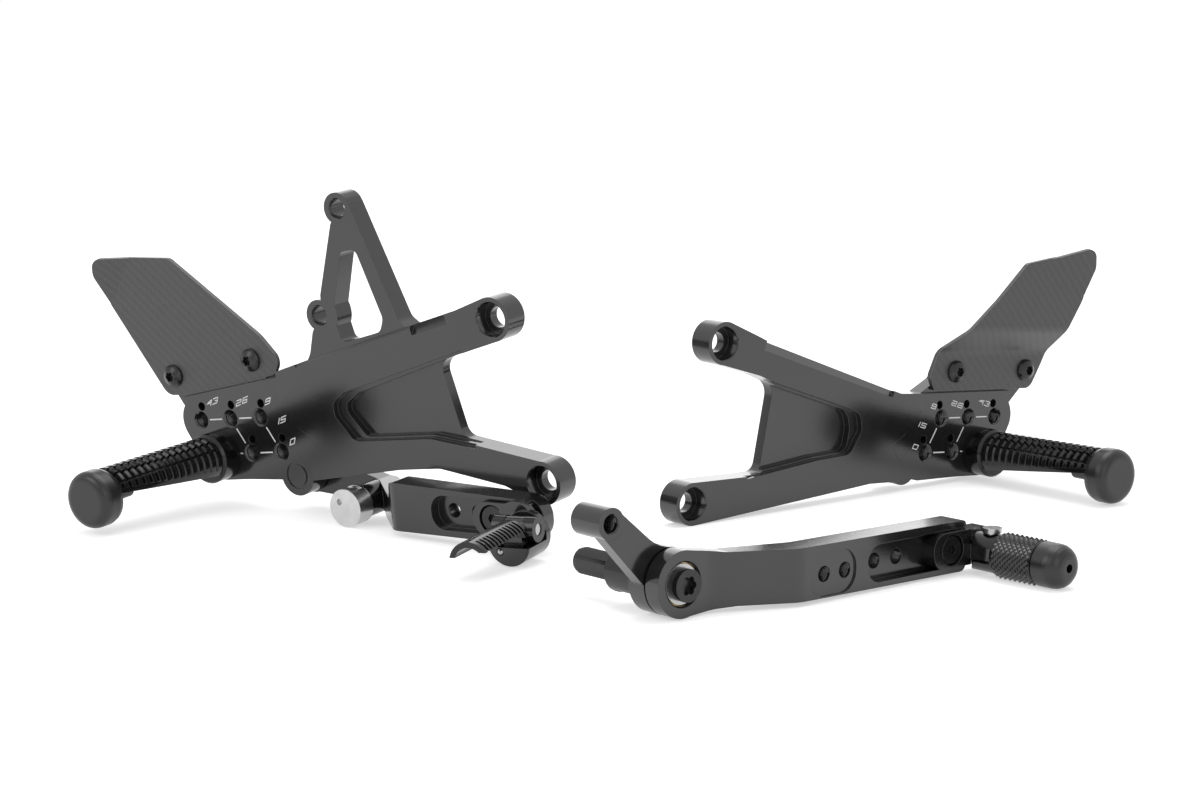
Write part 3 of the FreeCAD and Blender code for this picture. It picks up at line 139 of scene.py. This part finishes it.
class Finish:
    """A material and the nodes that make it."""

    def __init__(self, name, place=TABLE):
        self.material = bpy.data.materials.new(name)
        self.material.use_nodes = True
        self.tree = self.material.node_tree
        self.tree.nodes.clear()
        self.place = place

    def node(self, kind, settings=None, inputs=None, output=0):
        """Any node: its type, its settings, then the values or links of its sockets."""
        node = self.tree.nodes.new("ShaderNode" + kind)
        for name, setting in (settings or {}).items():
            setattr(node, name, setting)
        for name, value in (inputs or {}).items():
            if isinstance(value, Value):
                self.tree.links.new(value.socket, node.inputs[name])
            else:
                node.inputs[name].default_value = value
        return Value(self, node.outputs[output]) if node.outputs else None

    def spot(self, stretch=(1.0, 1.0, 1.0)):
        """The point on the surface in the part's own millimetres, stretched along its axes."""
        turned = self.place.to_3x3().normalized().to_euler("XYZ")
        local = self.node("Mapping", {"vector_type": "TEXTURE"},
                          {"Vector": self.node("TexCoord", output="Object"),
                           "Location": self.place.translation, "Rotation": turned,
                           "Scale": (MM, MM, MM)})
        return self.node("VectorMath", {"operation": "MULTIPLY"}, {0: local, 1: stretch})

    def along(self, vector):
        """The three numbers of a vector."""
        split = self.node("SeparateXYZ", None, {0: vector}).socket.node
        return [Value(self, socket) for socket in split.outputs]

    def noise(self, stretch, scale, detail=2.0):
        return self.node("TexNoise", None,
                         {"Vector": self.spot(stretch), "Scale": scale, "Detail": detail})

    def blend(self, share, colour_a, colour_b):
        """One colour turning into another as share goes from 0 to 1."""
        return self.node("Mix", {"data_type": "RGBA"}, {0: share, 6: colour_a, 7: colour_b}, 2)

    def ramp(self, value, low, high):
        """The value moved from low..high to 0..1 and held there."""
        return self.node("MapRange", {"clamp": True},
                         {"Value": value, "From Min": low, "From Max": high})

    def edge(self, radius):
        """The normal of a softly rounded edge, and how near the edge is from 0 to 1."""
        rounded = self.node("Bevel", {"samples": 4}, {"Radius": radius * MM})
        flat = self.node("NewGeometry", output="Normal")
        near = self.node("VectorMath", {"operation": "DOT_PRODUCT"}, {0: rounded, 1: flat}, "Value")
        return rounded, self.ramp(1.0 - near, 0.02, 0.3)

    def surface(self, relief=None, depth=0.1, normal=None, **sockets):
        """Principled surface with a relief of the given depth in millimetres."""
        if relief is not None:
            inputs = {"Height": relief, "Distance": depth * MM}
            if normal is not None:
                inputs["Normal"] = normal
            normal = self.node("Bump", None, inputs)
        if normal is not None:
            sockets["Normal"] = normal
        inputs = {name.replace("_", " "): value for name, value in sockets.items()}
        self.node("OutputMaterial", None, {"Surface": self.node("BsdfPrincipled", None, inputs)})
        return self.material


def grey(value, warmth=0.0):
    """A grey as a colour, a little warmer or cooler."""
    return (value * (1.0 + warmth), value, value * (1.0 - warmth), 1.0)


print("finish tools ready")

# %% [markdown]
# ## Table, background and light
#
# The set stands on white paper under large soft lights. The paper is an ordinary pale
# surface that takes the shadows. Where the camera or a reflection looks at it, some light of
# its own lifts it to white, so the lamps can stay at a level that leaves black parts black.
# One lamp stands behind the set: seen from low down, the top faces mirror it, and that draws
# the bright line along every upper edge.

# %% Table, background and light
PAPER = 0.82
PAPER_GLOW = 0.50
DAYLIGHT = 0.62


def seen_directly(tree):
    """1 for rays from the camera, from reflections and through glass."""
    path = tree.nodes.new("ShaderNodeLightPath")
    total = None
    for name in ("Is Camera Ray", "Is Glossy Ray", "Is Transmission Ray"):
        if total is None:
            total = path.outputs[name]
            continue
        larger = tree.nodes.new("ShaderNodeMath")
        larger.operation = "MAXIMUM"
        tree.links.new(total, larger.inputs[0])
        tree.links.new(path.outputs[name], larger.inputs[1])
        total = larger.outputs[0]
    return total


def paper_finish():
    finish = Finish("white_paper")
    tree = finish.tree
    seen = Value(finish, seen_directly(tree))
    fibres = finish.noise((1.0, 1.0, 1.0), 0.4, 3.0)
    colour = finish.blend(fibres, grey(PAPER), grey(PAPER + 0.03))
    diffuse = finish.node("BsdfDiffuse", None, {"Color": colour})
    glow = finish.node("Emission", None, {"Color": grey(1.0), "Strength": PAPER_GLOW})
    lit = finish.node("AddShader", None, {0: diffuse, 1: glow})
    both = finish.node("MixShader", None, {0: seen, 1: diffuse, 2: lit})
    finish.node("OutputMaterial", None, {"Surface": both})
    return finish.material


def make_table(half=30.0):
    mesh = bpy.data.meshes.new("table")
    mesh.from_pydata([(-half, -half, 0), (half, -half, 0), (half, half, 0), (-half, half, 0)], [],
                     [(0, 1, 2, 3)])
    table = bpy.data.objects.new("table", mesh)
    bpy.context.collection.objects.link(table)
    mesh.materials.append(paper_finish())


def make_daylight():
    world = bpy.data.worlds.new("studio")
    bpy.context.scene.world = world
    world.use_nodes = True
    tree = world.node_tree
    background = tree.nodes["Background"]
    strength = tree.nodes.new("ShaderNodeMapRange")
    strength.inputs["To Min"].default_value = DAYLIGHT
    strength.inputs["To Max"].default_value = 1.0
    tree.links.new(seen_directly(tree), strength.inputs["Value"])
    background.inputs["Color"].default_value = grey(1.0)
    tree.links.new(strength.outputs[0], background.inputs["Strength"])


def soft_lamp(name, at, size, watts):
    """Square lamp that looks at the middle of the set."""
    lamp = bpy.data.objects.new(name, bpy.data.lights.new(name, "AREA"))
    bpy.context.collection.objects.link(lamp)
    lamp.data.size = size
    lamp.data.energy = watts
    lamp.location = at
    lamp.rotation_euler = (Vector((0.0, 0.0, 0.05)) - Vector(at)).to_track_quat("-Z", "Y").to_euler()


make_table()
make_daylight()
soft_lamp("lamp_above", (0.15, 0.35, 1.5), 1.2, 11.0)
soft_lamp("lamp_left", (-1.2, -0.6, 0.9), 0.8, 4.5)
soft_lamp("lamp_front", (0.5, -1.5, 0.7), 0.9, 2.0)
soft_lamp("lamp_behind", (0.0, 2.2, 0.75), 1.8, 12.0)

# %% [markdown]
# ## Black anodised aluminium
#
# The plates, levers and pegs are milled from solid and anodised black. The dye leaves a dark
# grey that is never quite even, the cutter leaves fine lines along the part, and broken
# edges catch the light. Noise stretched along one axis draws the lines, and the Bevel node
# rounds the edges for the light alone, so the mesh can stay as sharp as the CAD solid. Near
# the edges the colour is also painted lighter: partly worn edges, partly a painted highlight.
# Most of the grey one sees is the white studio mirrored in the oxide, so the dye itself is
# nearly black and the refractive index is high: where a part faces another dark part it turns black.

# %% Black anodised aluminium
ANODISED_IOR = 1.62


def anodised(name, place=TABLE, lines=(0.05, 1.0, 1.0), shade=0.010, polish=0.13, round_edge=0.35,
             relief=0.010, ior=ANODISED_IOR):
    finish = Finish(name, place)
    clouds = finish.noise((1.0, 1.0, 1.0), 0.045, 3.0)
    cutter = finish.noise(lines, 3.0, 3.0)
    rounded, edge = finish.edge(round_edge)
    dye = finish.blend(clouds, grey(shade * 0.7, -0.02), grey(shade * 1.4, -0.01))
    # Painted highlight and edge wear: the colour turns light grey near every edge.
    colour = finish.blend(edge * 0.35, dye, grey(0.14))
    return finish.surface(relief=cutter, depth=relief, normal=rounded, Base_Color=colour,
                          Roughness=clouds * 0.08 + cutter * 0.04 + polish - 0.04, IOR=ior)


print("anodised finish ready")

# %% [markdown]
# ## Carbon heel guards
#
# The heel guards are thin carbon sheets in a twill weave under matt lacquer. In a twill each
# strand passes over two and under two, shifted by one from row to row, which draws the fine
# diagonal. Two floors and a remainder give that pattern, and each strand is a small arch.

# %% Carbon
STRAND = 1.25


def carbon(name, place):
    finish = Finish(name, place)
    x, y, z = finish.along(finish.spot((1.0 / STRAND, 1.0, 1.0 / STRAND)))
    over = ((x.maths("FLOOR") + z.maths("FLOOR")) % 4.0) < 1.5
    arch_up = ((x % 1.0) * math.pi).maths("SINE")
    arch_across = ((z % 1.0) * math.pi).maths("SINE")
    strand = over * arch_up + (1.0 - over) * arch_across
    fibre = finish.noise((1.0, 1.0, 0.15), 1.6, 2.0)
    rounded, edge = finish.edge(0.5)
    share = finish.ramp(over * 0.2 + strand * 0.2 + fibre * 0.6, 0.1, 0.9)
    weave = finish.blend(share, grey(0.012), grey(0.050))
    colour = finish.blend(edge * 0.8, weave, grey(0.35))
    return finish.surface(relief=strand, depth=0.015, normal=rounded, Base_Color=colour,
                          Roughness=0.36 + fibre * 0.10, IOR=1.58)


print("strand width:", STRAND, "mm")

# %% [markdown]
# ## Steel, alloy and bronze
#
# Screws are blackened steel, the swivel is bright turned alloy, hinge pins and washers are
# bare steel, and the pivot bushes are bronze. They differ by colour, by how metallic they
# are and by how rough they are, so one recipe with three numbers serves all four.

# %% Steel, alloy and bronze
def metal(name, colour, bare, polish, scratches=0.02):
    finish = Finish(name)
    clouds = finish.noise((1.0, 1.0, 1.0), 0.3, 3.0)
    scuffs = finish.noise((1.0, 0.2, 3.0), 1.5, 4.0)
    rounded, edge = finish.edge(0.2)
    darker = tuple(c * 0.75 for c in colour[:3]) + (1.0,)
    lighter = tuple(min(c * 1.5 + 0.05, 0.95) for c in colour[:3]) + (1.0,)
    base = finish.blend(clouds, darker, colour)
    return finish.surface(relief=scuffs, depth=scratches, normal=rounded,
                          Base_Color=finish.blend(edge * 0.5, base, lighter),
                          Metallic=bare, Roughness=scuffs * 0.14 + polish)


FINISHES = {
    "black_steel": metal("blackened_steel", grey(0.04), 0.7, 0.18, 0.008),
    "bright_alloy": metal("bright_alloy", grey(0.62), 1.0, 0.24, 0.003),
    "bright_steel": metal("bright_steel", grey(0.45), 1.0, 0.18),
    "bronze": metal("bronze", (0.55, 0.40, 0.20, 1.0), 1.0, 0.3),
}
print("metals:", sorted(FINISHES))

# %% [markdown]
# ## Dress the CAD parts
#
# Each part names its material slot in the record. Parts of anodised aluminium also need to
# know their frame, because the cutter's lines run along the part and not along the table.

# %% Dress the CAD parts
ROUND_LINES = (1.0, 1.0, 1.0)
ANODISED = {
    "brake plate": (BRAKE_SIDE, {}, ["brake_side_plate"]),
    "shift plate": (SHIFT_SIDE, {}, ["shift_side_plate"]),
    "brake lever": (BRAKE_LEVER, {}, ["brake_lever", "brake_toe_block"]),
    "shift lever": (SHIFT_LEVER, {}, ["shift_lever", "shift_rod_arm", "shift_toe_block"]),
    "pegs": (TABLE, {"lines": ROUND_LINES, "shade": 0.004, "polish": 0.16, "round_edge": 0.2,
                     "relief": 0.003, "ior": 1.45},
             ["brake_footpeg", "shift_footpeg", "brake_toe_blade", "shift_toe_peg",
              "shift_pivot_spindle"]),
    "caps": (TABLE, {"lines": ROUND_LINES, "shade": 0.006, "polish": 0.3, "relief": 0.004, "ior": 1.5},
             ["brake_peg_cap", "shift_peg_cap", "shift_toe_cap"]),
}
CARBON = {"brake_heel_guard": BRAKE_SIDE, "shift_heel_guard": SHIFT_SIDE}


def dress(node, material):
    mesh = frame["nodes"][node].data
    mesh.materials.clear()
    mesh.materials.append(material)


for subpart in RECORD["subparts"]:
    if subpart["material_slot"] in FINISHES:
        dress(subpart["node"], FINISHES[subpart["material_slot"]])
for group, (place, look, nodes) in ANODISED.items():
    material = anodised("anodised_" + group.replace(" ", "_"), place, **look)
    for node in nodes:
        dress(node, material)
for node, place in CARBON.items():
    dress(node, carbon(node.replace("heel_guard", "carbon"), place))
print("dressed nodes:", sum(len(o.data.materials) for o in frame["nodes"].values()))

# %% [markdown]
# ## A helper for small pieces
#
# Threads, marks and knurling are meshes written point by point in a part's millimetres. The
# helper places them, keeps their facets flat, and lets them ride on the body they belong to,
# so they move with the pedal or the lever.

# %% A helper for small pieces
def make_piece(name, points, faces, place, body, material, slot="black_anodised"):
    mesh = bpy.data.meshes.new(name)
    mesh.from_pydata([place @ Vector(p) for p in points], [], faces)
    mesh.polygons.foreach_set("use_smooth", [False] * len(mesh.polygons))
    mesh.materials.append(material)
    piece = bpy.data.objects.new(name, mesh)
    bpy.context.collection.objects.link(piece)
    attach(piece, body)


# %% [markdown]
# ## Marks on the adjusters
#
# Fine white lines join the holes of each adjuster, and plain numbers beside them tell the
# rider how far back the peg will sit. They are engraved and filled with paint, so they are
# built as thin strokes that lie a hair above the surface. A numeral is a row of points on a
# square, leaned over like the ones on the part.

# %% Marks on the adjusters
PAD_FACE = 1.5
LINK_STROKE = 0.62
DIGIT_STROKE = 0.42
PROUD = 0.03
STROKES = {
    "0": ["00 10 11 01 00"], "1": ["50 51"], "2": ["01 11 15 05 00 10"],
    "3": ["01 11 10 00", "55 15"], "4": ["10 11 05 15"], "5": ["11 01 05 15 10 00"],
    "6": ["11 01 00 10 15 05"], "9": ["00 10 11 01 05 15"],
}
LABELS = {"43": (-40.4, 22.1), "26": (-22.3, 21.7), "9": (-4.7, 21.7), "15": (1.2, 12.8),
          "0": (5.6, 2.9)}
SHIFT_LABELS_OFF = Vector((0.3, -1.1))
DIGIT_WIDTH, DIGIT_HEIGHT = 2.8, 2.2
DIGIT_GAP, DIGIT_LEAN, DIGIT_RISE = 1.3, 0.5, 0.27
HOLES = {"D": (0.0, 0.0), "E": (-18.0, 0.0), "F": (-36.0, 0.0),
         "A": (-9.0, 16.2), "B": (-27.0, 16.2), "C": (-45.0, 16.2)}
LINKS = ["CB", "BA", "BE", "AD", "ED", "EF"]
LINK_GAP = 5.6


def white_paint():
    finish = Finish("white_paint")
    grain = finish.noise((1.0, 1.0, 1.0), 2.0, 2.0)
    colour = finish.blend(grain, grey(0.72), grey(0.88))
    return finish.surface(relief=grain, depth=0.01, Base_Color=colour, Roughness=0.5)


def numeral_point(code):
    """Two digits of a stroke code as a place on the unit square; 5 is halfway."""
    x, z = (0.5 if digit == "5" else float(digit) for digit in code)
    return x, z


def numeral_lines(text, at, flip):
    """Line segments of a number, rising along the plate and leaning forward."""
    lines, start = [], 0.0
    for digit in (text[::-1] if flip else text):
        width = 0.0 if digit == "1" else DIGIT_WIDTH
        for stroke in STROKES[digit]:
            points = []
            for code in stroke.split():
                x, z = numeral_point(code)
                lean = z * DIGIT_HEIGHT * (-DIGIT_LEAN if flip else DIGIT_LEAN)
                x = start + (1.0 - x if flip else x) * width + lean
                points.append((at[0] + x, at[1] + z * DIGIT_HEIGHT + x * DIGIT_RISE))
            lines += list(zip(points, points[1:]))
        start += width + DIGIT_GAP
    return lines


def link_lines():
    """Lines from hole to hole, stopping short of their rims."""
    lines = []
    for a, b in LINKS:
        start, stop = Vector(HOLES[a]), Vector(HOLES[b])
        way = (stop - start).normalized() * LINK_GAP
        lines.append((tuple(start + way), tuple(stop - way)))
    return lines


def stroke_mesh(lines, width, mirror):
    """A thin bar of the given width along each line segment."""
    points, faces = [], []
    for (x0, z0), (x1, z1) in lines:
        way = Vector((x1 - x0, z1 - z0)).normalized() * (width / 2)
        side = Vector((-way.y, way.x))
        corners = [Vector((x0, z0)) - way + side, Vector((x1, z1)) + way + side,
                   Vector((x1, z1)) + way - side, Vector((x0, z0)) - way - side]
        first = len(points)
        for y in (PAD_FACE - PROUD, PAD_FACE + PROUD):
            points += [(c.x * mirror, y, c.y) for c in corners]
        ring = range(4)
        faces += [[first + i for i in ring], [first + 4 + i for i in reversed(ring)]]
        faces += [[first + i, first + 4 + i, first + 4 + (i + 1) % 4, first + (i + 1) % 4]
                  for i in ring]
    return points, faces


def join(meshes):
    """Several point and face lists as one."""
    points, faces = [], []
    for some_points, some_faces in meshes:
        first = len(points)
        points += some_points
        faces += [[first + i for i in face] for face in some_faces]
    return points, faces


PAINT = white_paint()
for side, place, mirror in (("brake", BRAKE_SIDE, 1.0), ("shift", SHIFT_SIDE, -1.0)):
    flip = mirror < 0
    numbers = []
    for text, at in LABELS.items():
        start = Vector(at) + (SHIFT_LABELS_OFF if flip else Vector((0, 0)))
        numbers += numeral_lines(text, start, flip)
    marks = join([stroke_mesh(link_lines(), LINK_STROKE, mirror),
                  stroke_mesh(numbers, DIGIT_STROKE, mirror)])
    make_piece(side + "_adjuster_marks", *marks, place, "frame_side", PAINT)
    print(side, "marks:", len(numbers), "strokes in its numbers")

# %% [markdown]
# ## Threads
#
# Peg holes, toe holes and the spindle are threaded. A thread is one ridge wound in a helix,
# so its mesh is a three cornered section swept around the axis while it moves along it. The
# base of the section sinks into the wall and only the crest shows.

# %% Threads
TURN_STEPS = 20
M8 = {"radius": 3.4, "pitch": 1.25, "depth": 0.35}
M6 = {"radius": 3.2, "pitch": 1.0, "depth": 0.3}
STUD = {"radius": 4.96, "pitch": 1.25, "depth": -0.5}
PLATE_THREAD = (2.2, 9.2)
SHIFT_HOLES = [(60.4, -13.9, 10.6), (71.8, -13.9, 10.6), (92.6, -9.7, 6.4), (105.2, -9.7, 6.4)]
SHIFT_HOLES_UP = -2.3
BRAKE_HOLES = [(96.2, -9.7, 6.4), (108.8, -9.7, 6.4)]
BRAKE_HOLES_UP = -5.6
ROD_EYE, ROD_EYE_THREAD = (-29.6, 25.9), (8.2, 14.6)
STUD_THREAD = (38.0, 20.0)


def thread_mesh(centre, start, length, radius, pitch, depth):
    """Helical ridge on a bore wall (depth < 0 points outward, as on a stud)."""
    steps = int(length / pitch * TURN_STEPS)
    root, crest = radius + depth * 0.15, radius - depth
    points, faces = [], []
    for i in range(steps + 1):
        angle = 2 * math.pi * i / TURN_STEPS
        s = start + pitch * 0.5 + (length - pitch) * i / steps
        for r, shift in ((root, -0.42), (crest, 0.0), (root, 0.42)):
            points.append((centre[0] + r * math.cos(angle), s + shift * pitch,
                           centre[1] + r * math.sin(angle)))
    for i in range(steps):
        for k in range(3):
            a, b = 3 * i + k, 3 * i + (k + 1) % 3
            faces.append([a, b, b + 3, a + 3])
    last = 3 * steps
    faces += [[2, 1, 0], [last, last + 1, last + 2]]
    return points, faces


THREAD_LOOK = anodised("anodised_threads", TABLE, lines=ROUND_LINES, round_edge=0.05, relief=0.002)


def thread_piece(name, threads, place, body):
    make_piece(name, *join(threads), place, body, THREAD_LOOK)


open_holes = [hole for name, hole in HOLES.items() if name != "F"]
for side, place, mirror in (("brake", BRAKE_SIDE, 1.0), ("shift", SHIFT_SIDE, -1.0)):
    thread_piece(side + "_peg_hole_threads",
                 [thread_mesh((x * mirror, z), *PLATE_THREAD, **M8) for x, z in open_holes],
                 place, "frame_side")
thread_piece("shift_lever_threads",
             [thread_mesh((x, SHIFT_HOLES_UP), y, length, **M6) for x, y, length in SHIFT_HOLES],
             SHIFT_LEVER, "shift_arm")
thread_piece("brake_lever_threads",
             [thread_mesh((x, BRAKE_HOLES_UP), y, length, **M6) for x, y, length in BRAKE_HOLES],
             BRAKE_LEVER, "brake_arm")
thread_piece("rod_eye_thread", [thread_mesh(ROD_EYE, *ROD_EYE_THREAD, **M8)], SHIFT_LEVER, "shift_arm")
thread_piece("spindle_thread", [thread_mesh((0.0, 0.0), *STUD_THREAD, **STUD)], SHIFT_LEVER,
             "frame_side")
print("threaded holes:", 2 * len(open_holes) + len(SHIFT_HOLES) + len(BRAKE_HOLES) + 1)

# %% [markdown]
# ## Knurled toe peg
#
# The gear lever ends in a knurled grip, where crossing rolls leave rows of small pyramids.
# A bump texture would vanish at the outline, so the pyramids are real: a diamond grid is
# wrapped round the grip, its corners lie on the grip and the middle of each diamond stands up.
# The peg lies on the table, so no tip may reach lower than the table is below its axis.

# %% Knurled toe peg
TOE_PEG = Vector((146.0, -24.5, -4.3))
KNURL_ROOT, KNURL_TIP = 8.75, 9.6
KNURL_SPAN = (6.4, 26.4)
KNURL_ROUND = 24
KNURL_ROWS = 15
TABLE_DROP = 9.1


def knurl_mesh(centre, start, stop):
    """Pyramids on a diamond grid round an axis that runs outboard."""
    points, faces, index = [], [], {}

    def corner(row, column, radius):
        key = (row, column % (2 * KNURL_ROUND))
        if key not in index:
            angle = math.pi * column / KNURL_ROUND
            s = start + (stop - start) * row / (KNURL_ROWS + 1)
            index[key] = len(points)
            height = max(radius * math.sin(angle), -TABLE_DROP)
            points.append((centre.x + radius * math.cos(angle), centre.y - s, centre.z + height))
        return index[key]

    for row in range(1, KNURL_ROWS + 1):
        for column in range(row % 2, 2 * KNURL_ROUND, 2):
            tip = corner(row, column + 0.25, KNURL_TIP)
            ring = [corner(row - 1, column, KNURL_ROOT), corner(row, column + 1, KNURL_ROOT),
                    corner(row + 1, column, KNURL_ROOT), corner(row, column - 1, KNURL_ROOT)]
            faces += [[ring[i], ring[(i + 1) % 4], tip] for i in range(4)]
    return points, faces


knurl = knurl_mesh(TOE_PEG, *KNURL_SPAN)
GRIP_LOOK = anodised("anodised_grip", TABLE, lines=ROUND_LINES, round_edge=0.1, relief=0.002)
make_piece("shift_toe_knurl", *knurl, SHIFT_LEVER, "toe_peg", GRIP_LOOK)
print("pyramids:", len(knurl[1]) // 4)
